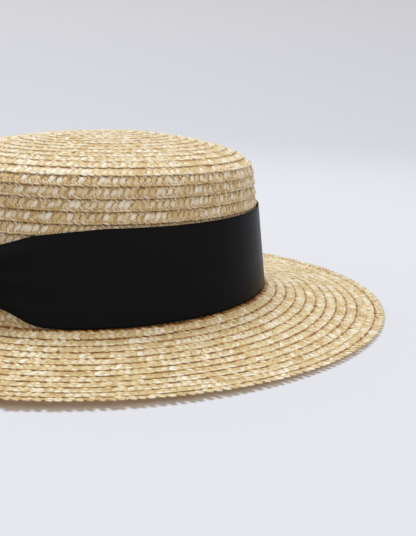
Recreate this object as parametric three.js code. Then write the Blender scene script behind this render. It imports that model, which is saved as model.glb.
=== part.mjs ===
// A straw boater hat: a crown and a brim of sewn straw braid, a wide ribbon round the crown,
// and the short wrap that gathers the ribbon at the back.
// Millimetres, +Z up. The hat lies on its brim at z = 0, its front faces -Y and its back +Y.
import * as THREE from 'three';

// Crown, measured on the outside
const crownLength = 200;        // front to back, at the base
const crownWidth = 172;         // side to side, at the base
const crownSide = 66.6;         // up the side wall, from the brim to the seam under the shoulder
const crownLean = 7.3;          // degrees that the side wall leans inwards

// Brim
const brimWidth = 67.2;         // across the brim, from the crown to the edge
const brimSlope = 14;           // degrees that it falls away beside the crown
const brimFlatRows = 1;         // rows at the edge that lie flat on the table

// Sewn braid
const braidPitch = 5.6;         // the part of each row that the next one leaves in sight
const braidThickness = 1.6;     // one row
const lapStep = 0.7;            // how far the edge of a row stands over the next row

// Ribbon and its wrap
const ribbonHeight = 43.8;
const ribbonThickness = 1.2;
const ribbonLift = 1.3;         // its lower edge over the brim
const wrapWidth = 18;           // along the ribbon
const wrapThickness = 1.4;
const gatherReach = 60;         // from the middle of the wrap to where the ribbon lies smooth
const gatherDepth = 9.4;        // how far each edge of the ribbon is drawn in at the wrap
const foldDepth = 2.4;          // of the gathered folds
const foldCount = 3;

// Between pieces that touch
const gap = 0.3;

// Smoothness
const ovalSteps = 44;           // round the crown and the brim
const ribbonSteps = 16;         // round each smooth half of the ribbon
const gatherSteps = 8;          // along the gathers at each side of the wrap
const wrapSteps = 4;            // along the wrap
const foldSteps = 12;           // up the ribbon

// How steeply the tip falls, by its share of the way from the shoulder seam to the middle
const tipSlopes = [
  { share: 0.03, degrees: 40 },
  { share: 0.10, degrees: 25 },
  { share: 0.18, degrees: 17 },
  { share: 0.30, degrees: 12 },
  { share: 0.60, degrees: 6.5 },
  { share: 0.88, degrees: 2 },
  { share: 0.93, degrees: 0 },
];

// How far the ribbon's edges are drawn in, by the share of the way from the wrap to gatherReach.
// low and high are shares of gatherDepth, fold is a share of foldDepth.
const gathers = [
  { share: 0.00, low: 1.00, high: 1.00, fold: 1.00 },
  { share: 0.14, low: 0.82, high: 0.78, fold: 0.85 },
  { share: 0.25, low: 0.57, high: 0.60, fold: 0.66 },
  { share: 0.34, low: 0.28, high: 0.42, fold: 0.48 },
  { share: 0.42, low: 0.08, high: 0.35, fold: 0.36 },
  { share: 0.65, low: 0.00, high: 0.19, fold: 0.18 },
  { share: 1.00, low: 0.00, high: 0.00, fold: 0.00 },
];

const radians = THREE.MathUtils.degToRad;
const halfLength = crownLength / 2;
const halfWidth = crownWidth / 2;
const wallThickness = braidThickness + lapStep;

/** A column of a table at a share of the way, straight between its rows. */
function lookUp(table, column, share) {
  if (share <= table[0].share) return table[0][column];
  for (let i = 1; i < table.length; i += 1) {
    const [from, to] = [table[i - 1], table[i]];
    if (share <= to.share) {
      return THREE.MathUtils.mapLinear(share, from.share, to.share, from[column], to[column]);
    }
  }
  return table[table.length - 1][column];
}

/** A point of the oval that lies `out` outside the crown's base, at an angle counted from +X. */
function onOval(out, z, angle) {
  const x = (halfWidth + out) * Math.cos(angle);
  const y = (halfLength + out) * Math.sin(angle);
  return new THREE.Vector3(x, y, z);
}

/** A row of points laid end to end from a start, each one `step` long at its own slope. */
function walk(start, step, slopes) {
  const path = [start];
  for (const slope of slopes) {
    const last = path[path.length - 1];
    path.push(new THREE.Vector2(last.x + step * Math.cos(slope), last.y + step * Math.sin(slope)));
  }
  return path;
}

/** The unit normal of the stretch between two points of a profile, to the left of the way from a to b. */
function leftOf(a, b) {
  const way = b.clone().sub(a).normalize();
  return new THREE.Vector2(-way.y, way.x);
}

/** The outside of lapped rows: each row starts sunk under the edge before it and ends standing proud. */
function lapped(path) {
  const points = [];
  for (let i = 1; i < path.length; i += 1) {
    const out = leftOf(path[i - 1], path[i]);
    points.push(path[i - 1].clone().addScaledVector(out, -lapStep));
    points.push(path[i].clone());
  }
  return points;
}

/** The inside of a wall: every `skip`-th point of the path, a wall's thickness within, ends included. */
function inside(path, skip) {
  const points = [];
  for (let i = 0; i < path.length; i += 1) {
    const end = i === path.length - 1;
    if (!end && i % skip) continue;
    const before = path[Math.max(i - 1, 0)];
    const after = path[Math.min(i + 1, path.length - 1)];
    points.push(path[i].clone().addScaledVector(leftOf(before, after), -wallThickness));
  }
  return points;
}

/** A closed mesh from rings of equally many points. The rings close on each other, or are capped at both ends. */
function skin(rings, closed) {
  const count = rings[0].length;
  const points = rings.flat();
  const faces = [];
  const joins = closed ? rings.length : rings.length - 1;
  for (let j = 0; j < joins; j += 1) {
    const next = ((j + 1) % rings.length) * count;
    for (let i = 0; i < count; i += 1) {
      const k = (i + 1) % count;
      faces.push(j * count + i, next + i, next + k);
      faces.push(j * count + i, next + k, j * count + k);
    }
  }
  if (!closed) {
    const last = (rings.length - 1) * count;
    points.push(middleOf(rings[0]), middleOf(rings[rings.length - 1]));
    for (let i = 0; i < count; i += 1) {
      const k = (i + 1) % count;
      faces.push(points.length - 2, i, k);
      faces.push(points.length - 1, last + k, last + i);
    }
  }
  const geometry = new THREE.BufferGeometry().setFromPoints(points);
  geometry.setIndex(faces);
  geometry.computeVertexNormals();
  return geometry;
}

function middleOf(ring) {
  const middle = new THREE.Vector3();
  for (const point of ring) middle.add(point);
  return middle.divideScalar(ring.length);
}

/** The rings that a profile of (out, z) points sweeps round the oval. */
function sweepOval(profile) {
  return profile.map((point) => {
    const ring = [];
    for (let i = 0; i < ovalSteps; i += 1) {
      ring.push(onOval(point.x, point.y, (2 * Math.PI * i) / ovalSteps));
    }
    return ring;
  });
}

function named(name, geometry, material) {
  const mesh = new THREE.Mesh(geometry, material);
  mesh.name = name;
  return mesh;
}

// Brim: rows from the crown out, each lying over the next one, falling less and less to a flat edge

function brimPath() {
  const rows = Math.round(brimWidth / braidPitch);
  const step = brimWidth / rows;
  const slopes = [];
  for (let i = 0; i < rows; i += 1) {
    const share = Math.min((i + 0.5) / (rows - brimFlatRows), 1);
    slopes.push(-radians(brimSlope) * (1 - share));
  }
  const path = walk(new THREE.Vector2(0, 0), step, slopes);
  const lift = wallThickness - path[rows].y;
  return path.map((point) => new THREE.Vector2(point.x, point.y + lift));
}

const brimRowEnds = brimPath();
const brimTop = brimRowEnds[0].y;                 // beside the crown
const crownBase = brimTop + gap;

function makeBrim(material) {
  const rows = brimRowEnds.length - 1;
  const edge = brimRowEnds[rows];
  const flat = brimRowEnds.slice(rows - brimFlatRows);
  const rim = new THREE.Vector2(-wallThickness, brimTop);
  const under = inside(brimRowEnds.slice(0, rows - brimFlatRows + 1), 2).reverse();
  under[0] = new THREE.Vector2(flat[0].x, 0);
  const profile = [
    rim,
    new THREE.Vector2(0, brimTop),
    ...lapped(brimRowEnds).slice(1),
    new THREE.Vector2(edge.x, 0),
    ...under.slice(0, -1),
    new THREE.Vector2(-wallThickness, brimTop - wallThickness),
  ];
  return named('brim', skin(sweepOval(profile), true), material);
}

// Crown: rows from the middle of the tip, over the shoulder and down the wall to the brim

function crownPath() {
  const wallCount = Math.round(crownSide / braidPitch);
  const wallSlopes = new Array(wallCount).fill(Math.PI / 2 + radians(crownLean));
  const wall = walk(new THREE.Vector2(0, crownBase), crownSide / wallCount, wallSlopes);
  const seam = wall[wallCount];
  const reach = halfWidth + seam.x;
  const tip = [seam];
  let place = seam;
  while (halfWidth + place.x > braidPitch) {
    const share = 1 - (halfWidth + place.x) / reach;
    const slope = Math.PI - radians(lookUp(tipSlopes, 'degrees', share + braidPitch / reach / 2));
    place = walk(place, braidPitch, [slope])[1];
    tip.push(place);
  }
  return { wall: wall.reverse(), tip: tip.reverse() };
}

const crownRowEnds = crownPath();

function makeCrown(material) {
  const { wall, tip } = crownRowEnds;
  const path = [...tip, ...wall.slice(1)];
  const middle = path[0];
  const foot = path[path.length - 1];
  const outer = lapped(path);
  outer[0] = middle.clone();
  const within = [...inside(tip.slice(1), 2), ...inside(wall, 3).slice(1)];
  within.unshift(new THREE.Vector2(middle.x, within[0].y));
  within[within.length - 1] = new THREE.Vector2(foot.x - wallThickness, foot.y);
  const profile = [...outer, ...within.reverse()];
  return named('crown', skin(sweepOval(profile), false), material);
}

// Ribbon: a band round the crown's wall, drawn together at the back where the wrap holds it

const leanRun = Math.tan(radians(crownLean));

/** How far the crown's wall stands outside its base at a height. */
const wallOut = (z) => -(z - crownBase) * leanRun;

const wrapRoom = gap + wrapThickness + gap;       // the wrap passes between the ribbon and the crown
const ribbonFoot = brimTop + ribbonLift;
const held = wrapWidth / 2 + gap;                 // the ribbon is drawn in evenly this far from the middle

/** The ribbon's two edges, its stand-off and its fold depth at a distance from the middle of the wrap. */
function ribbonAt(distance) {
  const share = Math.max(Math.abs(distance) - held, 0) / (gatherReach - held);
  return {
    low: ribbonFoot + gatherDepth * lookUp(gathers, 'low', share),
    high: ribbonFoot + ribbonHeight - gatherDepth * lookUp(gathers, 'high', share),
    fold: foldDepth * lookUp(gathers, 'fold', share),
    off: THREE.MathUtils.lerp(wrapRoom, gap, THREE.MathUtils.smoothstep(share, 0, 0.5)),
  };
}

/** Distances from the middle of the wrap, which is at the back, to each section of the ribbon. */
function ribbonStations() {
  const half = [];
  for (let i = 1; i <= wrapSteps / 2; i += 1) half.push((2 * held * i) / wrapSteps);
  for (let i = 1; i <= gatherSteps; i += 1) {
    half.push(held + (gatherReach - held) * (i / gatherSteps) ** 1.4);
  }
  const rest = Math.PI * halfWidth - gatherReach;
  for (let i = 1; i < ribbonSteps; i += 1) half.push(gatherReach + (rest * i) / ribbonSteps);
  const mirrored = half.map((distance) => -distance).reverse();
  return [...mirrored, 0, ...half, Math.PI * halfWidth];
}

/** The angle round the oval of a point at a distance from the middle of the back. */
const atBack = (distance) => Math.PI / 2 + distance / halfWidth;

function makeRibbon(material) {
  const rings = ribbonStations().map((distance) => {
    const { low, high, fold, off } = ribbonAt(distance);
    const angle = atBack(distance);
    const outer = [];
    const inner = [];
    for (let i = 0; i <= foldSteps; i += 1) {
      const share = i / foldSteps;
      const z = THREE.MathUtils.lerp(low, high, share);
      const wave = (fold * (1 - Math.cos(2 * Math.PI * foldCount * share))) / 2;
      const out = wallOut(z) + off + wave;
      inner.push(onOval(out, z, angle));
      outer.push(onOval(out + ribbonThickness, z, angle));
    }
    return [...outer, ...inner.reverse()];
  });
  return named('ribbon', skin(rings, true), material);
}

// Wrap: a sleeve of the same ribbon that passes behind the gathers and closes over them

/** A rounded box in the plane of out and z, `grow` outside the room that the gathered ribbon takes. */
function wrapLoop(grow, angle) {
  const { low, high, off } = ribbonAt(0);
  const middle = (low + high) / 2;
  const rounding = (ribbonThickness + foldDepth) / 4;
  const corner = rounding + grow / 2;
  const half = (high - low) / 2 + gap + rounding + grow;
  const near = off - gap - grow;
  const far = off + ribbonThickness + foldDepth + gap + grow;
  const crowned = (far - near) / 6;
  const spots = [
    [near, -half + corner], [near, 0], [near, half - corner],
    [near + corner, half], [far - corner, half],
    [far, half - corner], [far + crowned * 0.7, half * 0.45], [far + crowned, 0],
    [far + crowned * 0.7, -half * 0.45], [far, -half + corner],
    [far - corner, -half], [near + corner, -half],
  ];
  return spots.map(([out, up]) => onOval(wallOut(middle + up) + out, middle + up, angle));
}

function makeWrap(material) {
  const outer = [];
  const inner = [];
  for (let i = 0; i <= wrapSteps; i += 1) {
    const angle = atBack(wrapWidth * (i / wrapSteps - 0.5));
    outer.push(wrapLoop(wrapThickness, angle));
    inner.push(wrapLoop(0, angle));
  }
  return named('ribbon_wrap', skin([...outer, ...inner.reverse()].reverse(), true), material);
}

// The whole hat

const straw = new THREE.MeshStandardMaterial({ color: 0xd9c7a3, roughness: 0.6, metalness: 0 });
const satin = new THREE.MeshStandardMaterial({ color: 0x141416, roughness: 0.45, metalness: 0 });

const hat = new THREE.Group();
hat.add(makeCrown(straw), makeBrim(straw), makeRibbon(satin), makeWrap(satin));

export default hat;
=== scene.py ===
import math

import bpy
import numpy as np
from mathutils import Matrix, Vector


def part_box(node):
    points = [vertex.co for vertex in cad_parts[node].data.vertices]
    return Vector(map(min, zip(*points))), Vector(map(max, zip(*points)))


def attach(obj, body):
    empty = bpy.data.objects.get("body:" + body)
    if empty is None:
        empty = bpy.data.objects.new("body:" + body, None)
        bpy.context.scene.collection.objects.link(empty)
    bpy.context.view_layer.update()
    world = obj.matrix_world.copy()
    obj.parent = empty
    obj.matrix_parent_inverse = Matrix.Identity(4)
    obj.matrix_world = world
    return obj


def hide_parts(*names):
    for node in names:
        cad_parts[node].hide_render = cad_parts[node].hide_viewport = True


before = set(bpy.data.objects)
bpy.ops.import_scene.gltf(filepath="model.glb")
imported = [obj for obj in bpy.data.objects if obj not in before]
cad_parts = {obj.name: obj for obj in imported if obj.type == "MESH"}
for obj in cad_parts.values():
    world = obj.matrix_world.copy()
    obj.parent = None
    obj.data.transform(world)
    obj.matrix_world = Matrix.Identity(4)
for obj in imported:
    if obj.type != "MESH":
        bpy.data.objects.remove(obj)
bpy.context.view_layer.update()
scene = bpy.context.scene
mm = 0.001

# The view: the hat lies on a pale floor, seen from a little above the brim and close by.
# The camera looks past the hat's back, where the ribbon is gathered, at the wearer's right side.
view_azimuth = math.radians(215)
camera_reach = 450.7 * mm
camera_height = 118.7 * mm
camera_yaw = math.radians(7.36)
camera_pitch = math.radians(-12.52)
camera_roll = math.radians(2.09)
camera_focal = 56.07
camera_sensor = 36
camera_clip = 10 * mm

turn_to_view = Matrix.Rotation(view_azimuth, 3, "Z")


def from_view(x, y, z):
    """A place given with x to the right and y away in the view, turned into the hat's own frame."""
    return turn_to_view @ Vector((x, y, z))


camera_data = bpy.data.cameras.new("camera")
camera_data.lens = camera_focal
camera_data.sensor_width = camera_sensor
camera_data.clip_start = camera_clip
camera = bpy.data.objects.new("camera", camera_data)
scene.collection.objects.link(camera)
ahead = Vector((
    math.sin(camera_yaw) * math.cos(camera_pitch),
    math.cos(camera_yaw) * math.cos(camera_pitch),
    math.sin(camera_pitch),
))
level = Vector((math.cos(camera_yaw), -math.sin(camera_yaw), 0))
upright = level.cross(ahead)
right = math.cos(camera_roll) * level + math.sin(camera_roll) * upright
above = math.cos(camera_roll) * upright - math.sin(camera_roll) * level
look = Matrix((right, above, -ahead)).transposed()
camera_place = from_view(0, -camera_reach, camera_height)
camera.matrix_world = Matrix.Translation(camera_place) @ (turn_to_view @ look).to_4x4()
scene.camera = camera

# Light: the even light of a photo studio, set to the view above. A soft cool lamp nearly overhead gives the
# hat its form, a weaker and warmer one in front lights the wall, and a warm room fills the shadows.
room_colour = (1.0, 0.80, 0.56, 1)
room_strength = 0.52
scene.view_settings.view_transform = "Standard"
world = bpy.data.worlds.new("room")
world.use_nodes = True
background = world.node_tree.nodes["Background"]
background.inputs["Color"].default_value = room_colour
background.inputs["Strength"].default_value = room_strength
scene.world = world


def far_lamp(name, place, width, power, colour):
    """A lamp so far away that the hat and the floor round it are lit alike.
    place is the way to it from the hat, and width is its size as an angle in degrees."""
    data = bpy.data.lights.new(name, "SUN")
    data.angle = math.radians(width)
    data.energy = power
    data.color = colour
    lamp = bpy.data.objects.new(name, data)
    lamp.location = place
    lamp.rotation_mode = "QUATERNION"
    lamp.rotation_quaternion = Vector(place).to_track_quat("Z", "Y")
    scene.collection.objects.link(lamp)


far_lamp("lamp_above", from_view(-0.12, 0.22, 1.0), 26, 2.68, (0.825, 0.94, 1.03))
far_lamp("lamp_front", from_view(0.62, -0.85, 0.42), 45, 2.25, (1.0, 0.90, 0.77))

# Floor: one wide sheet of pale paper, laid flat under the hat. Far from it the sheet curves up all round
# without a fold, so that no edge shows behind the hat, and its tone darkens slowly on the way out as
# painted shade. The paper also has a faint warm painted glow that lightens the shadows on it.
floor_flat = 1.1
floor_rings = (0.1, 0.4, 1)      # of its flat part, as shares of how far that reaches
floor_curve = 1.4
floor_steps = 96
floor_arc_steps = 12
paper_near = (0.494, 0.548, 0.640, 1)
paper_far = (0.351, 0.404, 0.490, 1)
paper_painted_glow = (1.0, 0.62, 0.33, 1)


def new_object(name, points, faces):
    mesh = bpy.data.meshes.new(name)
    mesh.from_pydata([tuple(p) for p in points], [], faces)
    mesh.update()
    thing = bpy.data.objects.new(name, mesh)
    scene.collection.objects.link(thing)
    return thing


def shade_smooth(thing):
    thing.data.polygons.foreach_set("use_smooth", [True] * len(thing.data.polygons))
    thing.data.update()


def node_material(name):
    """A new material, its node tree and its shader."""
    material = bpy.data.materials.new(name)
    material.use_nodes = True
    tree = material.node_tree
    return material, tree, tree.nodes["Principled BSDF"]


rises = [(floor_flat * share, 0) for share in floor_rings]
for step in range(1, floor_arc_steps + 1):
    bend = math.pi / 2 * step / floor_arc_steps
    rises.append((floor_flat + floor_curve * math.sin(bend), floor_curve * (1 - math.cos(bend))))
floor_points = [(0, 0, 0)]
floor_faces = []
for reach, height in rises:
    for step in range(floor_steps):
        around = 2 * math.pi * step / floor_steps
        floor_points.append((reach * math.cos(around), reach * math.sin(around), height))
for step in range(floor_steps):
    floor_faces.append((0, 1 + step, 1 + (step + 1) % floor_steps))
for ring in range(len(rises) - 1):
    for step in range(floor_steps):
        here = 1 + ring * floor_steps
        beyond = here + floor_steps
        following = (step + 1) % floor_steps
        floor_faces.append((here + step, beyond + step, beyond + following, here + following))
floor = new_object("floor", floor_points, floor_faces)
shade_smooth(floor)
paper, paper_tree, paper_shader = node_material("paper")
reach_out = paper_tree.nodes.new("ShaderNodeVectorMath")
reach_out.operation = "LENGTH"
paper_tree.links.new(paper_tree.nodes.new("ShaderNodeTexCoord").outputs["Object"], reach_out.inputs[0])
reach_share = paper_tree.nodes.new("ShaderNodeMath")
reach_share.operation = "DIVIDE"
reach_share.inputs[1].default_value = floor_flat + floor_curve
paper_tree.links.new(reach_out.outputs["Value"], reach_share.inputs[0])
# Painted shade: the paper darkens with its distance from the hat.
paper_tones = paper_tree.nodes.new("ShaderNodeValToRGB")
paper_tones.color_ramp.interpolation = "B_SPLINE"
paper_tones.color_ramp.elements[0].position = 0.26
paper_tones.color_ramp.elements[0].color = paper_near
paper_tones.color_ramp.elements[1].position = 0.50
paper_tones.color_ramp.elements[1].color = paper_far
paper_tree.links.new(reach_share.outputs["Value"], paper_tones.inputs["Fac"])
paper_tree.links.new(paper_tones.outputs["Color"], paper_shader.inputs["Base Color"])
paper_shader.inputs["Roughness"].default_value = 0.8
paper_shader.inputs["Emission Color"].default_value = paper_painted_glow       # painted glow: warm light that lightens the shadows on the paper
paper_shader.inputs["Emission Strength"].default_value = 0.14
floor.data.materials.append(paper)

# Tip of the crown: one long straw braid, sewn in a flat oval spiral from the middle out.
# Each row lies over the inner side of the next one, and its edge stands a little proud.
crown_low, crown_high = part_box("crown")
brim_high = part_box("brim")[1]
half_width = crown_high.x
half_length = crown_high.y
row_pitch = 5.6 * mm
tip_step = 0.25 * mm             # how far the edge of a row stands over the next one
wall_step = 1.20 * mm
strand_thickness = 1.35 * mm
crown_side = 66.6 * mm
crown_lean = math.radians(7.3)
tip_slopes = [                   # the share of the way in from the shoulder, and the slope in degrees
    (0.03, 40), (0.10, 25), (0.18, 17), (0.30, 12), (0.60, 6.5), (0.88, 2), (0.93, 0),
]
guide_steps = 120                # places that are worked out in one turn of the spiral
end_dip = 0.4                    # how far a free end dips, as a share of a strand's thickness


def walk(start, step, slopes):
    """Places laid end to end from a start in a profile of (out, z), each a step on at its own slope."""
    path = [start]
    for slope in slopes:
        out, z = path[-1]
        path.append((out + step * math.cos(slope), z + step * math.sin(slope)))
    return path


wall_rows = round(crown_side / row_pitch)
wall_up = walk((0, crown_low.z), crown_side / wall_rows, [math.pi / 2 + crown_lean] * wall_rows)
tip_reach = half_width + wall_up[-1][0]
tip_in = [wall_up[-1]]
while half_width + tip_in[-1][0] > row_pitch:
    share = 1 - (half_width + tip_in[-1][0]) / tip_reach + row_pitch / tip_reach / 2
    fall = np.interp(share, [row[0] for row in tip_slopes], [row[1] for row in tip_slopes])
    tip_in = tip_in + walk(tip_in[-1], row_pitch, [math.pi - math.radians(fall)])[1:]
crown_profile = tip_in[::-1] + wall_up[-2::-1]      # from the middle of the tip to the foot of the wall
tip_rows = len(tip_in) - 1


def on_oval(out, z, angle):
    return Vector(((half_width + out) * math.cos(angle), (half_length + out) * math.sin(angle), z))


def on_profile(profile, place):
    """(out, z) at a place counted in rows along a profile, straight on beyond its start."""
    first = min(max(int(math.floor(place)), 0), len(profile) - 2)
    share = place - first
    (a_out, a_z), (b_out, b_z) = profile[first], profile[first + 1]
    return a_out + (b_out - a_out) * share, a_z + (b_z - a_z) * share


def no_lift(place, angle):
    return 0


def row_axes(edge, sunk, heading):
    """The way up a row from its edge, square to its heading, and the way out of the hat."""
    up_row = sunk - edge
    up_row = (up_row - heading * up_row.dot(heading)).normalized()
    return up_row, heading.cross(up_row)


def braid_guide(profile, first, last, edge_step, lift=no_lift, start_angle=math.pi / 2, tuck=1.0):
    """The outer edge of a braid that is sewn in a spiral, one row of the profile for each turn.
    It starts and ends on rows that keep to their place for a whole turn. Their free end dips under the
    next row over a share of the turn that tuck gives.
    Each entry is the edge's place, the way up the row, and the way out of the hat."""
    turns = last - first
    steps = round(turns * guide_steps)
    guide = []
    for step in range(-guide_steps, steps + guide_steps + 1):
        place = first + min(max(step / guide_steps, 0), turns)
        free = max(-step, step - steps, 0) / guide_steps
        tucked = max(free - (1 - tuck), 0) / tuck
        angle = start_angle + 2 * math.pi * step / guide_steps
        out, z = on_profile(profile, place)
        in_out, in_z = on_profile(profile, place - 1)
        edge = on_oval(out, z + lift(place, angle), angle)
        sunk = on_oval(in_out, in_z + lift(place - 1, angle), angle)
        heading = Vector((
            -(half_width + out) * math.sin(angle), (half_length + out) * math.cos(angle), 0,
        )).normalized()
        up_row, outward = row_axes(edge, sunk, heading)
        up_row, outward = row_axes(edge, sunk - outward * edge_step(place), heading)
        guide.append((edge - outward * strand_thickness * tucked * end_dip, up_row, outward))
    return guide


def stretch(guide, first, last):
    """The stretch of a guide between two of its turns, counted from its start."""
    return guide[round(first * guide_steps):round(last * guide_steps) + 1]


# A straw is a flattened tube that folds back at each edge of the braid. Seen from outside it shows as
# long ovals along the edge, wide rounded leaves in the middle, and narrow bars above and below the
# leaves that run the other way. Each row of a table is a section: its share of the length, then its
# half width and its height, as shares of the straw's.
straw_sections = {
    "edge_oval": [(0.13, 0.52, 0.70), (0.50, 1.00, 1.00), (0.87, 0.52, 0.70)],
    "wide_leaf": [(0.15, 0.66, 0.70), (0.50, 1.00, 1.00), (0.85, 0.76, 0.82)],
    "high_bar": [(0.14, 0.95, 0.95), (0.50, 1.00, 1.00), (0.86, 0.85, 0.76)],
    "low_bar": [(0.14, 0.75, 0.75), (0.50, 1.00, 1.00), (0.86, 0.75, 0.75)],
    "round_leaf": [(0.13, 0.55, 0.62), (0.50, 1.00, 1.00), (0.87, 0.66, 0.74)],
    "thin_bar": [(0.14, 0.80, 0.85), (0.50, 1.00, 1.00), (0.86, 0.80, 0.85)],
    "rim_oval": [(0.12, 0.36, 0.45), (0.60, 1.00, 1.00), (0.90, 0.66, 0.62)],
}
straw_ring = [(1, -0.38), (0.50, 0.00), (-0.50, -0.06), (-1, -0.48), (0, -1)]    # across, and down
straw_thickness = 0.72           # of a straw, as a share of a strand's
straw_end_depth = 0.35           # its ends lie this share of a strand below its crest
straw_fall = 0.3                 # mm that its crest would lose where its height went to nothing


def straw_form(name, start, end, half, top, sunk_start, sunk_end):
    """A closed straw between two places on the row, in mm: x along the row, y up from its edge.
    half is its half width and top is where its crest lies. sunk_start and sunk_end say how far the
    crest dips at the ends."""
    sections = straw_sections[name]
    begin, finish = Vector(start), Vector(end)
    way = (finish - begin).normalized()
    side = Vector((-way.y, way.x))
    points = [(*begin, top - sunk_start - strand_thickness / mm * straw_end_depth)]
    lengthwise = [0.0]
    across = [0.0]
    for share, wide, high in sections:
        middle = begin.lerp(finish, share)
        dip = sunk_start * max(1 - 2 * share, 0) ** 2 + sunk_end * max(2 * share - 1, 0) ** 2
        crest = top - dip - (1 - high) * straw_fall
        thick = strand_thickness / mm * straw_thickness * high
        for lateral, drop in straw_ring:
            spot = middle + side * (lateral * half * wide)
            points.append((spot.x, spot.y, crest + drop * thick))
            lengthwise.append(share)
            across.append(lateral)
    points.append((*finish, top - sunk_end - strand_thickness / mm * straw_end_depth))
    lengthwise.append(1.0)
    across.append(0.0)
    count = len(straw_ring)
    faces = []
    for i in range(count):
        k = (i + 1) % count
        faces.append((0, 1 + i, 1 + k))
        for ring_at in range(len(sections) - 1):
            a = 1 + ring_at * count
            b = a + count
            faces.append((a + i, b + i, b + k, a + k))
        last_ring = 1 + (len(sections) - 1) * count
        faces.append((len(points) - 1, last_ring + k, last_ring + i))
    straw = new_object(name, [Vector(p) * mm for p in points], faces)
    shade_smooth(straw)
    up_row = [place[1] for place in points]
    for label, values in (("lengthwise", lengthwise), ("across", across), ("up_row", up_row)):
        layer = straw.data.attributes.new(label, "FLOAT", "POINT")
        layer.data.foreach_set("value", values)
    straw.hide_render = True
    return straw


# The straws of the flat rows, then those that only the wall has, then those that only the rim has.
edge_oval = straw_form("edge_oval", (-1.85, 1.22), (1.80, 0.66), 0.80, 0.04, 0.20, 0.10)
wide_leaf = straw_form("wide_leaf", (-1.75, 1.05), (1.60, 5.00), 1.52, 0.0, 0.22, 0.28)
high_bar = straw_form("high_bar", (-1.90, 6.95), (1.50, 3.90), 1.18, -0.04, 0.0, 0.22)
low_bar = straw_form("low_bar", (-1.25, 2.80), (1.10, 0.95), 0.78, -0.06, 0.22, 0.10)
wall_edge = straw_form("edge_oval", (-2.05, 1.05), (1.95, 0.50), 0.62, 0.04, 0.18, 0.08)
round_leaf = straw_form("round_leaf", (-1.45, 1.75), (1.40, 5.05), 1.62, 0.03, 0.30, 0.24)
upper_bar = straw_form("thin_bar", (-1.55, 6.90), (0.75, 4.10), 0.56, -0.04, 0.0, 0.22)
upper_bar_between = straw_form("thin_bar", (0.05, 6.90), (2.30, 4.15), 0.54, -0.08, 0.0, 0.22)
lower_bar = straw_form("thin_bar", (-1.35, 2.80), (0.20, 0.75), 0.48, -0.02, 0.22, 0.10)
lower_bar_between = straw_form("thin_bar", (0.20, 2.85), (1.80, 0.80), 0.46, -0.06, 0.22, 0.10)
rim_oval = straw_form("rim_oval", (-1.75, 3.55), (1.45, 0.95), 1.50, 0.22, 0.10, 0.05)
rim_leaf = straw_form("wide_leaf", (-1.75, 3.10), (1.60, 5.20), 1.20, 0.0, 0.22, 0.28)
rim_bar = straw_form("low_bar", (-1.25, 4.00), (1.10, 2.80), 0.70, -0.06, 0.22, 0.10)


def link(tree, start, end):
    tree.links.new(start, end)


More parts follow.
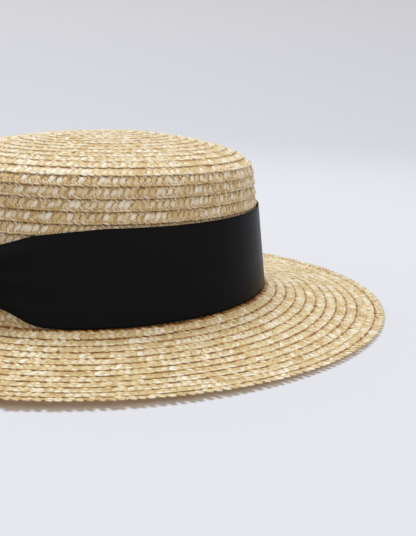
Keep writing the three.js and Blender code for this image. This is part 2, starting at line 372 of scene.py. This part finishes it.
def plait_tree():
    """Geometry Nodes that lay one kind of straw along a guide: one straw for each plait.
    Each is turned, tilted, sized and toned at random, from the seed."""
    tree = bpy.data.node_groups.new("plait", "GeometryNodeTree")
    face = tree.interface
    face.new_socket("Geometry", in_out="INPUT", socket_type="NodeSocketGeometry")
    face.new_socket("Straw", in_out="INPUT", socket_type="NodeSocketObject")
    face.new_socket("Plait spacing", in_out="INPUT", socket_type="NodeSocketFloat")
    face.new_socket("Turn spread", in_out="INPUT", socket_type="NodeSocketFloat")
    face.new_socket("Tilt spread", in_out="INPUT", socket_type="NodeSocketFloat")
    face.new_socket("Size spread", in_out="INPUT", socket_type="NodeSocketFloat")
    face.new_socket("Seed", in_out="INPUT", socket_type="NodeSocketInt")
    face.new_socket("Straw material", in_out="INPUT", socket_type="NodeSocketMaterial")
    face.new_socket("Geometry", in_out="OUTPUT", socket_type="NodeSocketGeometry")
    add = tree.nodes.new
    given = add("NodeGroupInput")
    curve = add("GeometryNodeMeshToCurve")
    spaced = add("GeometryNodeResampleCurve")
    spaced.mode = "LENGTH"
    link(tree, given.outputs["Geometry"], curve.inputs["Mesh"])
    link(tree, curve.outputs["Curve"], spaced.inputs["Curve"])
    link(tree, given.outputs["Plait spacing"], spaced.inputs["Length"])
    outward = add("GeometryNodeInputNamedAttribute")
    outward.data_type = "FLOAT_VECTOR"
    outward.inputs["Name"].default_value = "outward"
    tangent = add("GeometryNodeInputTangent")
    facing = add("FunctionNodeAxesToRotation")
    facing.primary_axis = "Z"
    facing.secondary_axis = "X"
    link(tree, outward.outputs["Attribute"], facing.inputs["Primary Axis"])
    link(tree, tangent.outputs["Tangent"], facing.inputs["Secondary Axis"])

    def feed(value, socket):
        if isinstance(value, bpy.types.NodeSocket):
            link(tree, value, socket)
        else:
            socket.default_value = value

    def random_value(kind, lowest, highest, shift):
        node = add("FunctionNodeRandomValue")
        node.data_type = kind
        seed = add("ShaderNodeMath")
        seed.operation = "ADD"
        seed.inputs[1].default_value = shift
        link(tree, given.outputs["Seed"], seed.inputs[0])
        link(tree, seed.outputs["Value"], node.inputs["Seed"])
        index = 0 if kind == "FLOAT_VECTOR" else 2
        feed(lowest, node.inputs[index])
        feed(highest, node.inputs[index + 1])
        return node.outputs["Value" if kind == "FLOAT_VECTOR" else 1]

    def arithmetic(operation, first, second):
        node = add("ShaderNodeMath")
        node.operation = operation
        feed(first, node.inputs[0])
        feed(second, node.inputs[1])
        return node.outputs["Value"]

    lay = add("GeometryNodeInstanceOnPoints")
    source = add("GeometryNodeObjectInfo")
    link(tree, given.outputs["Straw"], source.inputs["Object"])
    placed = add("GeometryNodeStoreNamedAttribute")
    placed.data_type = "FLOAT"
    placed.domain = "POINT"
    placed.inputs["Name"].default_value = "along"
    link(tree, spaced.outputs["Curve"], placed.inputs["Geometry"])
    link(tree, add("GeometryNodeSplineParameter").outputs["Length"], placed.inputs["Value"])
    link(tree, placed.outputs["Geometry"], lay.inputs["Points"])
    link(tree, source.outputs["Geometry"], lay.inputs["Instance"])
    link(tree, facing.outputs["Rotation"], lay.inputs["Rotation"])
    largest = arithmetic("ADD", 1.0, given.outputs["Size spread"])
    smallest = arithmetic("SUBTRACT", 1.0, given.outputs["Size spread"])
    link(tree, random_value("FLOAT", smallest, largest, 1), lay.inputs["Scale"])
    turned = add("GeometryNodeRotateInstances")
    spread_low = add("ShaderNodeCombineXYZ")
    spread_high = add("ShaderNodeCombineXYZ")
    for axis, spread in (("X", "Tilt spread"), ("Y", "Tilt spread"), ("Z", "Turn spread")):
        link(tree, arithmetic("MULTIPLY", given.outputs[spread], -1), spread_low.inputs[axis])
        link(tree, given.outputs[spread], spread_high.inputs[axis])
    link(tree, lay.outputs["Instances"], turned.inputs["Instances"])
    angles = random_value("FLOAT_VECTOR", spread_low.outputs["Vector"], spread_high.outputs["Vector"], 2)
    link(tree, angles, turned.inputs["Rotation"])
    toned = add("GeometryNodeStoreNamedAttribute")
    toned.data_type = "FLOAT"
    toned.domain = "INSTANCE"
    toned.inputs["Name"].default_value = "tone"
    link(tree, turned.outputs["Instances"], toned.inputs["Geometry"])
    link(tree, random_value("FLOAT", 0.0, 1.0, 3), toned.inputs["Value"])
    real = add("GeometryNodeRealizeInstances")
    painted = add("GeometryNodeSetMaterial")
    result = add("NodeGroupOutput")
    link(tree, toned.outputs["Geometry"], real.inputs["Geometry"])
    link(tree, real.outputs["Geometry"], painted.inputs["Geometry"])
    link(tree, given.outputs["Straw material"], painted.inputs["Material"])
    link(tree, painted.outputs["Geometry"], result.inputs["Geometry"])
    return tree


plait = plait_tree()
pale_rarity = 1.8                # the power that keeps most straws golden and few of them pale
seam_shade_rise = 0.75                 # mm up the row over which the painted seam shade sets in
edge_fade_start = 1.7            # mm up the row where the gold of the edge begins
edge_fade_end = 0.9              # mm up the row where it is full
# The dark and light browns of the painted shade in the seams.
seam_shade_deep = (0.33, 0.14, 0.03, 1)
seam_shade_pale = (0.60, 0.37, 0.13, 1)
# The brown of the straws' sides: partly their own brown, partly painted shade between them.
brown_and_shade_tone = (0.60, 0.40, 0.14, 1)
edge_tone = (0.74, 0.57, 0.34, 1)


def straw_material(name, brown_and_shade_at_sides, painted_seam_shade, seam_shade_from, pale, tone_spread, edge_gold):
    """Flattened wheat straw, from golden to nearly white. Its sides are browner, partly its own brown and
    partly painted shade between the straws, and the seams carry painted shade under the edge of the row
    above.
    brown_and_shade_at_sides, painted_seam_shade and edge_gold are the shares of brown at a straw's sides,
    of painted shade in the seam and of gold along the row's edge. The painted seam shade starts
    seam_shade_from mm up the row. pale makes every straw paler, and tone_spread is how far the straws
    differ."""
    material, tree, shader = node_material(name)
    add = tree.nodes.new

    def attribute(name):
        node = add("ShaderNodeAttribute")
        node.attribute_name = name
        return node.outputs["Fac"]

    tone = attribute("tone")
    across = attribute("across")
    lengthwise = attribute("lengthwise")
    patches = add("ShaderNodeTexNoise")
    patches.noise_dimensions = "1D"
    patches.inputs["Scale"].default_value = 60
    patches.inputs["Detail"].default_value = 2
    link(tree, attribute("along"), patches.inputs["W"])
    few_pale = add("ShaderNodeMath")
    few_pale.operation = "POWER"
    few_pale.inputs[1].default_value = pale_rarity
    link(tree, tone, few_pale.inputs[0])
    mixed_tone = add("ShaderNodeMath")
    mixed_tone.operation = "MULTIPLY_ADD"
    mixed_tone.inputs[1].default_value = tone_spread
    link(tree, few_pale.outputs["Value"], mixed_tone.inputs[0])
    patch_share = add("ShaderNodeMapRange")
    patch_share.inputs["From Min"].default_value = 0.28
    patch_share.inputs["From Max"].default_value = 0.72
    patch_share.inputs["To Min"].default_value = pale
    patch_share.inputs["To Max"].default_value = 0.42 + pale
    link(tree, patches.outputs["Fac"], patch_share.inputs["Value"])
    link(tree, patch_share.outputs["Result"], mixed_tone.inputs[2])
    colours = add("ShaderNodeValToRGB")
    ramp = colours.color_ramp
    for at, colour in (
        (0.10, (0.53, 0.36, 0.15, 1)),
        (0.30, (0.65, 0.50, 0.27, 1)),
        (0.50, (0.71, 0.595, 0.375, 1)),
        (0.68, (0.75, 0.665, 0.475, 1)),
        (0.86, (0.84, 0.79, 0.67, 1)),
    ):
        stop = ramp.elements.new(at)
        stop.color = colour
    ramp.elements.remove(ramp.elements[0])
    ramp.elements.remove(ramp.elements[-1])
    link(tree, mixed_tone.outputs["Value"], colours.inputs["Fac"])
    fibre_place = add("ShaderNodeCombineXYZ")
    for axis, value, scale in (("X", across, 5.0), ("Y", lengthwise, 0.8), ("Z", tone, 60.0)):
        stretched = add("ShaderNodeMath")
        stretched.operation = "MULTIPLY"
        stretched.inputs[1].default_value = scale
        link(tree, value, stretched.inputs[0])
        link(tree, stretched.outputs["Value"], fibre_place.inputs[axis])
    fibres = add("ShaderNodeTexNoise")
    fibres.inputs["Scale"].default_value = 1.0
    fibres.inputs["Detail"].default_value = 3
    link(tree, fibre_place.outputs["Vector"], fibres.inputs["Vector"])
    side = add("ShaderNodeMath")
    side.operation = "ABSOLUTE"
    link(tree, across, side.inputs[0])
    # The straws' sides grow browner: partly their own brown, partly painted shade between the straws.
    sides_brown_and_shade = add("ShaderNodeMapRange")
    sides_brown_and_shade.inputs["From Min"].default_value = 0.66
    sides_brown_and_shade.inputs["From Max"].default_value = 1.0
    sides_brown_and_shade.inputs["To Min"].default_value = 0.0
    sides_brown_and_shade.inputs["To Max"].default_value = brown_and_shade_at_sides
    link(tree, side.outputs["Value"], sides_brown_and_shade.inputs["Value"])
    streaked = add("ShaderNodeMix")
    streaked.data_type = "RGBA"
    streaked.blend_type = "MULTIPLY"
    streaked.inputs["Factor"].default_value = 0.55
    fibre_ramp = add("ShaderNodeValToRGB")
    fibre_ramp.color_ramp.elements[0].position = 0.30
    fibre_ramp.color_ramp.elements[0].color = (0.78, 0.66, 0.48, 1)
    fibre_ramp.color_ramp.elements[1].position = 0.58
    fibre_ramp.color_ramp.elements[1].color = (1, 1, 1, 1)
    link(tree, fibres.outputs["Fac"], fibre_ramp.inputs["Fac"])
    link(tree, colours.outputs["Color"], streaked.inputs["A"])
    link(tree, fibre_ramp.outputs["Color"], streaked.inputs["B"])
    sides_browned_and_shaded = add("ShaderNodeMix")
    sides_browned_and_shaded.data_type = "RGBA"
    sides_browned_and_shaded.blend_type = "MULTIPLY"
    sides_browned_and_shaded.inputs["B"].default_value = brown_and_shade_tone
    link(tree, sides_brown_and_shade.outputs["Result"], sides_browned_and_shaded.inputs["Factor"])
    link(tree, streaked.outputs["Result"], sides_browned_and_shaded.inputs["A"])
    # Painted shade in the seam, under the edge of the row above it.
    seam_shade_mask = add("ShaderNodeMapRange")
    seam_shade_mask.interpolation_type = "SMOOTHSTEP"
    seam_shade_mask.inputs["From Min"].default_value = seam_shade_from
    seam_shade_mask.inputs["From Max"].default_value = seam_shade_from + seam_shade_rise
    seam_shade_mask.inputs["To Max"].default_value = painted_seam_shade
    link(tree, attribute("up_row"), seam_shade_mask.inputs["Value"])
    seam_shaded = add("ShaderNodeMix")
    seam_shaded.data_type = "RGBA"
    seam_shaded.blend_type = "MULTIPLY"
    # The painted seam shade is darker, in dots, at straws of low tone.
    seam_shade_dots = add("ShaderNodeMapRange")
    seam_shade_dots.inputs["From Min"].default_value = 0.12
    seam_shade_dots.inputs["From Max"].default_value = 0.34
    link(tree, tone, seam_shade_dots.inputs["Value"])
    seam_shade_tones = add("ShaderNodeMix")
    seam_shade_tones.data_type = "RGBA"
    seam_shade_tones.inputs["A"].default_value = seam_shade_deep
    seam_shade_tones.inputs["B"].default_value = seam_shade_pale
    link(tree, seam_shade_dots.outputs["Result"], seam_shade_tones.inputs["Factor"])
    link(tree, seam_shade_tones.outputs["Result"], seam_shaded.inputs["B"])
    link(tree, seam_shade_mask.outputs["Result"], seam_shaded.inputs["Factor"])
    link(tree, sides_browned_and_shaded.outputs["Result"], seam_shaded.inputs["A"])
    at_edge = add("ShaderNodeMapRange")
    at_edge.interpolation_type = "SMOOTHSTEP"
    at_edge.inputs["From Min"].default_value = edge_fade_start
    at_edge.inputs["From Max"].default_value = edge_fade_end
    at_edge.inputs["To Max"].default_value = edge_gold
    link(tree, attribute("up_row"), at_edge.inputs["Value"])
    golden = add("ShaderNodeMix")
    golden.data_type = "RGBA"
    golden.blend_type = "MULTIPLY"
    golden.inputs["B"].default_value = edge_tone
    link(tree, at_edge.outputs["Result"], golden.inputs["Factor"])
    link(tree, seam_shaded.outputs["Result"], golden.inputs["A"])
    link(tree, golden.outputs["Result"], shader.inputs["Base Color"])
    gloss = add("ShaderNodeMapRange")
    gloss.inputs["To Min"].default_value = 0.30
    gloss.inputs["To Max"].default_value = 0.52
    link(tree, fibres.outputs["Fac"], gloss.inputs["Value"])
    link(tree, gloss.outputs["Result"], shader.inputs["Roughness"])
    bump = add("ShaderNodeBump")
    bump.inputs["Strength"].default_value = 0.35
    bump.inputs["Distance"].default_value = 0.0002
    link(tree, fibres.outputs["Fac"], bump.inputs["Height"])
    link(tree, bump.outputs["Normal"], shader.inputs["Normal"])
    return material


# The three straws differ in how much painted shade they carry at the sides and in the seams, and in how
# pale and varied they are.
wall_straw = straw_material("straw_wall", 0.48, 0.60, 5.0, 0.11, 0.84, 0.42)
flat_straw = straw_material("straw_flat", 0.12, 0.95, 4.72, 0.08, 0.66, 0.0)
tip_straw = straw_material("straw_tip", 0.24, 0.70, 4.8, 0.14, 0.86, 0.0)
core_end = 6.9                   # mm up the row, under the row beside it
core_thickness = 0.2             # mm
turn_spread = 0.20               # radians that a straw may be turned in its place, either way
tilt_spread = 0.045              # radians that it may be tilted
size_spread = 0.10               # share by which it may be larger or smaller


def core_strip(name, guide, finish, inset, depth):
    """The inside of the braid, which shows between the straws: a thin closed strip along the guide.
    It starts inset mm up from the row's edge and lies depth mm below it. It has the brown of the
    It has the brown of the straws' sides all over, their own brown with painted shade, so its values for
    across are all 1."""
    inner = -depth - core_thickness
    section = [(inset, -depth), (core_end, -depth), (core_end, inner), (inset, inner)]
    corners = len(section)
    points = []
    heights = []
    for edge, up_row, outward in guide:
        for up, out in section:
            points.append(edge + up_row * up * mm + outward * out * mm)
            heights.append(up)
    even = [1.0] * len(points)
    faces = [(3, 2, 1, 0)]
    for a in range(0, len(points) - corners, corners):
        b = a + corners
        for i in range(corners):
            k = (i + 1) % corners
            faces.append((a + i, a + k, b + k, b + i))
    end = len(points) - corners
    faces.append((end, end + 1, end + 2, end + 3))
    strip = new_object(name, points, faces)
    for label, values in (("across", even), ("up_row", heights)):
        layer = strip.data.attributes.new(label, "FLOAT", "POINT")
        layer.data.foreach_set("value", values)
    strip.data.materials.append(finish)
    return strip


def lay_straws(guide, form, spacing, seed, finish):
    """One kind of straw laid along a guide, as a plain mesh object."""
    path = bpy.data.meshes.new("guide")
    steps = [(i, i + 1) for i in range(len(guide) - 1)]
    path.from_pydata([tuple(edge) for edge, up_row, outward in guide], steps, [])
    layer = path.attributes.new("outward", "FLOAT_VECTOR", "POINT")
    layer.data.foreach_set("vector", [value for entry in guide for value in entry[2]])
    carrier = bpy.data.objects.new("guide", path)
    scene.collection.objects.link(carrier)
    laid = carrier.modifiers.new("plait", "NODES")
    laid.node_group = plait
    values = {
        "Straw": form,
        "Plait spacing": spacing,
        "Turn spread": turn_spread,
        "Tilt spread": tilt_spread,
        "Size spread": size_spread,
        "Seed": seed,
        "Straw material": finish,
    }
    for item in plait.interface.items_tree:
        if item.item_type == "SOCKET" and item.in_out == "INPUT" and item.name in values:
            laid[item.identifier] = values[item.name]
    bpy.context.view_layer.update()
    evaluated = carrier.evaluated_get(bpy.context.evaluated_depsgraph_get())
    made = bpy.data.meshes.new_from_object(evaluated)
    bpy.data.objects.remove(carrier)
    straws = bpy.data.objects.new(form.name + "_row", made)
    scene.collection.objects.link(straws)
    return straws


def join(name, things):
    """The things as one object, under a new name."""
    first = things[0]
    with bpy.context.temp_override(active_object=first, object=first, selected_editable_objects=things):
        bpy.ops.object.join()
    first.name = name
    first.data.name = name
    return first


plait_spacing = 3.15 * mm
seed_step = 10                   # between the seeds of a braid's kinds of straw
plain_forms = (edge_oval, wide_leaf, high_bar, low_bar)
wall_forms = (wall_edge, round_leaf, upper_bar, upper_bar_between, lower_bar, lower_bar_between)


def braid(name, guide, seed, finish, spacing=plait_spacing, forms=plain_forms, inset=1.1, depth=0.27):
    """One piece of braid along a guide: its core strip, and over it every kind of straw in forms."""
    parts = [core_strip(name, guide, finish, inset, depth)]
    for number, form in enumerate(forms):
        parts.append(lay_straws(guide, form, spacing, seed + seed_step * number, finish))
    return join(name, parts)


def own_crown(piece):
    """The piece is a part of the crown: it keeps to the root, and the crown's own part is hidden."""
    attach(piece, "root")
    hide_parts("crown")


def crown_step(place):
    """How far a row's edge stands over the next one: little on the tip, more down the wall."""
    return np.interp(place, (tip_rows - 1, tip_rows + 1), (tip_step, wall_step))


crown_start = 0.5                # the braid starts half a row from the middle
crown_guide = braid_guide(crown_profile, crown_start, tip_rows + wall_rows, crown_step)
tip_turns = 1 + tip_rows - crown_start
own_crown(braid("crown_tip_braid", stretch(crown_guide, 0, tip_turns), 1, tip_straw))

# Wall of the crown: the same straw braid goes on over the shoulder and down the side. Each row's upper
# side is sewn under the edge of the row above it, which stands out over it. The rows under the ribbon
# can't be seen, and have the same plain straws as the tip.
bare_turns = 5.5                 # turns of the wall's braid down to where the ribbon hides it
wall_core_depth = 0.44           # mm
ribbon_turns = tip_turns + bare_turns
crown_turns = 1 + tip_rows + wall_rows - crown_start + 1
wall_guide = stretch(crown_guide, tip_turns, ribbon_turns)
under_guide = stretch(crown_guide, ribbon_turns, crown_turns)
own_crown(braid(
    "crown_wall_braid", wall_guide, 2, wall_straw, plait_spacing, wall_forms, depth=wall_core_depth,
))
own_crown(braid("crown_wall_braid_under_ribbon", under_guide, 3, wall_straw))

# Brim: the same straw braid turns out at the foot of the wall and is sewn on row by row, each over the
# next, to a flat edge that rests on the floor. The last row goes once round the rim and over its own start.
brim_width = 67.2 * mm
brim_slope = math.radians(14)
brim_flat_rows = 1
brim_rows = round(brim_width / row_pitch)
brim_slopes = []
for row in range(brim_rows):
    brim_slopes.append(-brim_slope * (1 - min((row + 0.5) / (brim_rows - brim_flat_rows), 1)))
brim_profile = walk((0, brim_high.z), brim_width / brim_rows, brim_slopes)
brim_turn_out = 0.3 * mm
brim_turn_up = 1.3 * mm
brim_profile[0] = (brim_turn_out, brim_high.z + brim_turn_up)    # turned up to the wall under the ribbon
back_lift = 2.2 * mm
back_lift_angle = math.radians(100)
back_lift_spread = math.radians(75)


def brim_lift(place, angle):
    """The brim's back edge has warped up from the floor a little."""
    away = (angle - back_lift_angle + math.pi) % (2 * math.pi) - math.pi
    swell = math.cos(min(abs(away) / back_lift_spread, 1) * math.pi / 2) ** 2
    return back_lift * swell * max(place / brim_rows, 0) ** 2


brim_step = 0.32 * mm
brim_inner_turns = 5             # where the brim's inner piece ends
brim_middle_turns = 9            # where its middle piece ends
rim_spacing = 3.9 * mm
rim_start = math.radians(38)
rim_tuck = 0.06
rim_turns = 1.02                 # once round, and a little on over its own start


def brim_edge_step(place):
    """Every row's edge stands equally far over the next one."""
    return brim_step


brim_guide = braid_guide(brim_profile, 1, brim_rows - 1, brim_edge_step, brim_lift)
rim_guide = braid_guide(
    brim_profile, brim_rows, brim_rows, brim_edge_step, brim_lift, rim_start, rim_tuck,
)
rim_forms = (rim_oval, rim_leaf, high_bar, rim_bar)
rim_inset = 3.1
inner_guide = stretch(brim_guide, 0, brim_inner_turns)
middle_guide = stretch(brim_guide, brim_inner_turns, brim_middle_turns)
outer_guide = stretch(brim_guide, brim_middle_turns, brim_rows)
round_guide = stretch(rim_guide, 0, rim_turns)
brim_braids = [
    braid("brim_braid_inner", inner_guide, 4, flat_straw),
    braid("brim_braid_middle", middle_guide, 5, flat_straw),
    braid("brim_braid_outer", outer_guide, 6, flat_straw),
    braid("brim_braid_rim", round_guide, 7, flat_straw, rim_spacing, rim_forms, rim_inset),
]
for piece in brim_braids:
    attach(piece, "root")
    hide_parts("brim")
for form in plain_forms + wall_forms + (rim_oval, rim_leaf, rim_bar):
    bpy.data.objects.remove(form)

# Ribbon: a wide band of black satin with woven edges, laid tight round the foot of the crown. At the back
# its ends meet under the wrap, which draws it together, and three folds run out of the wrap on each side.
ribbon_low, ribbon_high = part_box("ribbon")
gap = 0.3 * mm
ribbon_thickness = 0.5 * mm
wrap_width = 18 * mm
wrap_thickness = 1.4 * mm
gather_reach = 60 * mm
gather_depth = 9.4 * mm
fold_depth = 3.0 * mm
fold_count = 3
fold_sway = 0.35                 # how far the folds wander up and down, as an angle of their wave
fold_sway_rate = 0.11            # radians for each mm along the ribbon
settled_share = 0.5              # the ribbon lies on the wall again at this share of the gathers' reach
gathers = {                      # how far the edges are drawn in and how deep the folds are, as shares
    "share": (0.00, 0.14, 0.25, 0.34, 0.42, 0.65, 1.00),
    "low": (1.00, 0.82, 0.57, 0.28, 0.08, 0.00, 0.00),
    "high": (1.00, 0.78, 0.60, 0.42, 0.35, 0.19, 0.00),
    "fold": (1.00, 0.85, 0.66, 0.48, 0.36, 0.18, 0.00),
}
gather_blur = (-0.08, -0.04, 0, 0.04, 0.08)
wrap_room = gap + wrap_thickness + gap           # behind the ribbon, where the wrap passes
held = wrap_width / 2 + gap                      # the ribbon is held this far from the wrap's middle
ribbon_columns = 360
ribbon_rows_up = 30


def wall_out(z):
    """How far the leaning wall stands out at a height, against its foot."""
    return -(z - crown_low.z) * math.tan(crown_lean)


def gather(key, share):
    """One column of the table of gathers, rounded off where its straight stretches meet."""
    nearby = [share + shift for shift in gather_blur]
    return float(np.mean(np.interp(nearby, gathers["share"], gathers[key])))


def ribbon_at(distance):
    """The ribbon at a distance from the middle of the wrap: its lower and upper edge, its stand-off from
    the wall, the depth of its folds, and the share of the gathers' reach that the distance is."""
    share = max(abs(distance) - held, 0) / (gather_reach - held)
    eased = min(share / settled_share, 1)
    eased = eased * eased * (3 - 2 * eased)
    return (
        ribbon_low.z + gather_depth * gather("low", share),
        ribbon_high.z - gather_depth * gather("high", share),
        wrap_room + (gap - wrap_room) * eased,
        fold_depth * gather("fold", share),
        share,
    )


def at_back(distance):
    """The angle round the hat at a distance along the ribbon from the middle of the wrap."""
    return math.pi / 2 + distance / half_width


def ribbon_spot(distance, up, skin):
    """A place on the ribbon: up runs to 1 from 0 at its lower edge, skin from 0 at its inner face."""
    low, high, off, fold, share = ribbon_at(distance)
    z = low + (high - low) * up
    sway = fold_sway * math.sin(distance / mm * fold_sway_rate) * share
    wave = fold * (1 - math.cos(2 * math.pi * fold_count * up + sway)) / 2
    return on_oval(wall_out(z) + off + wave + ribbon_thickness * skin, z, at_back(distance))


ribbon_points = []
ribbon_uv = []
around_half = math.pi * half_width
for column in range(ribbon_columns):
    distance = around_half * (2 * column / ribbon_columns - 1)
    for skin in (1, 0):
        for row in range(ribbon_rows_up + 1):
            up = row / ribbon_rows_up
            up = up if skin else 1 - up
            ribbon_points.append(ribbon_spot(distance, up, skin))
            ribbon_uv.append((distance / mm, up))
ring_size = 2 * (ribbon_rows_up + 1)
ribbon_faces = []
for column in range(ribbon_columns):
    a = column * ring_size
    b = ((column + 1) % ribbon_columns) * ring_size
    for i in range(ring_size):
        k = (i + 1) % ring_size
        ribbon_faces.append((a + i, b + i, b + k, a + k))
ribbon = new_object("ribbon_satin", ribbon_points, ribbon_faces)
shade_smooth(ribbon)


def write_uv(thing, per_point):
    """Where each point lies on the flat ribbon: mm along it, and the share of the way across."""
    layer = thing.data.uv_layers.new(name="cloth")
    for loop in thing.data.loops:
        layer.data[loop.index].uv = per_point[loop.vertex_index]


write_uv(ribbon, ribbon_uv)


def satin_material():
    """Black satin: smooth, with a faint cool sheen, fine threads across it and a darker woven edge."""
    material, tree, shader = node_material("satin")
    add = tree.nodes.new
    cloth = add("ShaderNodeUVMap")
    cloth.uv_map = "cloth"
    parts = add("ShaderNodeSeparateXYZ")
    link(tree, cloth.outputs["UV"], parts.inputs["Vector"])
    threads = add("ShaderNodeTexWave")
    threads.wave_type = "BANDS"
    threads.bands_direction = "X"
    threads.inputs["Scale"].default_value = 1.1
    threads.inputs["Distortion"].default_value = 0.4
    link(tree, cloth.outputs["UV"], threads.inputs["Vector"])
    from_edge = add("ShaderNodeMath")
    from_edge.operation = "PINGPONG"
    from_edge.inputs[1].default_value = 0.5
    link(tree, parts.outputs["Y"], from_edge.inputs[0])
    edge_band = add("ShaderNodeMapRange")
    edge_band.inputs["From Min"].default_value = 0.018
    edge_band.inputs["From Max"].default_value = 0.030
    link(tree, from_edge.outputs["Value"], edge_band.inputs["Value"])
    colour = add("ShaderNodeMix")
    colour.data_type = "RGBA"
    colour.inputs["A"].default_value = (0.0080, 0.0083, 0.0098, 1)
    colour.inputs["B"].default_value = (0.0094, 0.0098, 0.0115, 1)
    link(tree, edge_band.outputs["Result"], colour.inputs["Factor"])
    link(tree, colour.outputs["Result"], shader.inputs["Base Color"])
    soft = add("ShaderNodeTexNoise")
    soft.inputs["Scale"].default_value = 40
    soft.inputs["Detail"].default_value = 2
    link(tree, add("ShaderNodeTexCoord").outputs["Object"], soft.inputs["Vector"])
    roughness = add("ShaderNodeMapRange")
    roughness.inputs["To Min"].default_value = 0.20
    roughness.inputs["To Max"].default_value = 0.28
    link(tree, soft.outputs["Fac"], roughness.inputs["Value"])
    link(tree, roughness.outputs["Result"], shader.inputs["Roughness"])
    shader.inputs["Specular IOR Level"].default_value = 0.010
    shader.inputs["Specular Tint"].default_value = (0.62, 0.78, 1.0, 1)
    bump = add("ShaderNodeBump")
    bump.inputs["Strength"].default_value = 0.25
    bump.inputs["Distance"].default_value = 0.00006
    link(tree, threads.outputs["Fac"], bump.inputs["Height"])
    link(tree, bump.outputs["Normal"], shader.inputs["Normal"])
    return material


satin = satin_material()
ribbon.data.materials.append(satin)
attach(ribbon, "root")
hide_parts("ribbon")

# Wrap: a short piece of the same satin ribbon, folded narrow. It passes behind the gathered ribbon and
# closes over it as one loop, with rounded corners and a front that swells a little.
wrap_columns = 24
wrap_steps = 64
wrap_squareness = 0.42           # the power that squares the loop: 1 is an oval, 0 a rectangle
wrap_swell = 0.33                # of its front, as a share of half the loop's depth
wrap_inner_share = 0.3           # where its inner face lies in the thickness that its solid has
wrap_weave = 1.1                 # mm of the flat ribbon for each step round the loop


def wrap_spot(grow, angle, around):
    """A place on the wrap's loop, grow outside the room that the gathered ribbon takes."""
    low, high, off = ribbon_at(0)[:3]
    middle = (low + high) / 2
    half = (high - low) / 2 + gap + (ribbon_thickness + fold_depth) / 4 + grow
    near = off - gap - grow
    far = off + ribbon_thickness + fold_depth + gap + grow
    centre = (near + far) / 2
    depth = (far - near) / 2
    across = math.copysign(abs(math.cos(around)) ** wrap_squareness, math.cos(around))
    along = math.copysign(abs(math.sin(around)) ** wrap_squareness, math.sin(around))
    bulge = depth * wrap_swell * max(across, 0) * (1 - along * along)
    up = middle + half * along
    return on_oval(wall_out(up) + centre + depth * across + bulge, up, angle)


wrap_points = []
wrap_uv = []
for column in range(wrap_columns + 1):
    share = column / wrap_columns
    angle = at_back(wrap_width * (share - 0.5))
    for step in range(wrap_steps):
        wrap_points.append(wrap_spot(wrap_thickness, angle, 2 * math.pi * step / wrap_steps))
        wrap_uv.append((step * wrap_weave, share))
for column in range(wrap_columns, -1, -1):
    share = column / wrap_columns
    angle = at_back(wrap_width * (share - 0.5))
    for step in range(wrap_steps):
        grow = wrap_thickness * wrap_inner_share
        wrap_points.append(wrap_spot(grow, angle, 2 * math.pi * step / wrap_steps))
        wrap_uv.append((step * wrap_weave, share))
wrap_faces = []
wrap_rings = 2 * (wrap_columns + 1)
for ring in range(wrap_rings):
    a = ring * wrap_steps
    b = ((ring + 1) % wrap_rings) * wrap_steps
    for i in range(wrap_steps):
        k = (i + 1) % wrap_steps
        wrap_faces.append((a + i, a + k, b + k, b + i))
wrap = new_object("ribbon_wrap_satin", wrap_points, wrap_faces)
shade_smooth(wrap)
write_uv(wrap, wrap_uv)
wrap.data.materials.append(satin)
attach(wrap, "root")
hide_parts("ribbon_wrap")
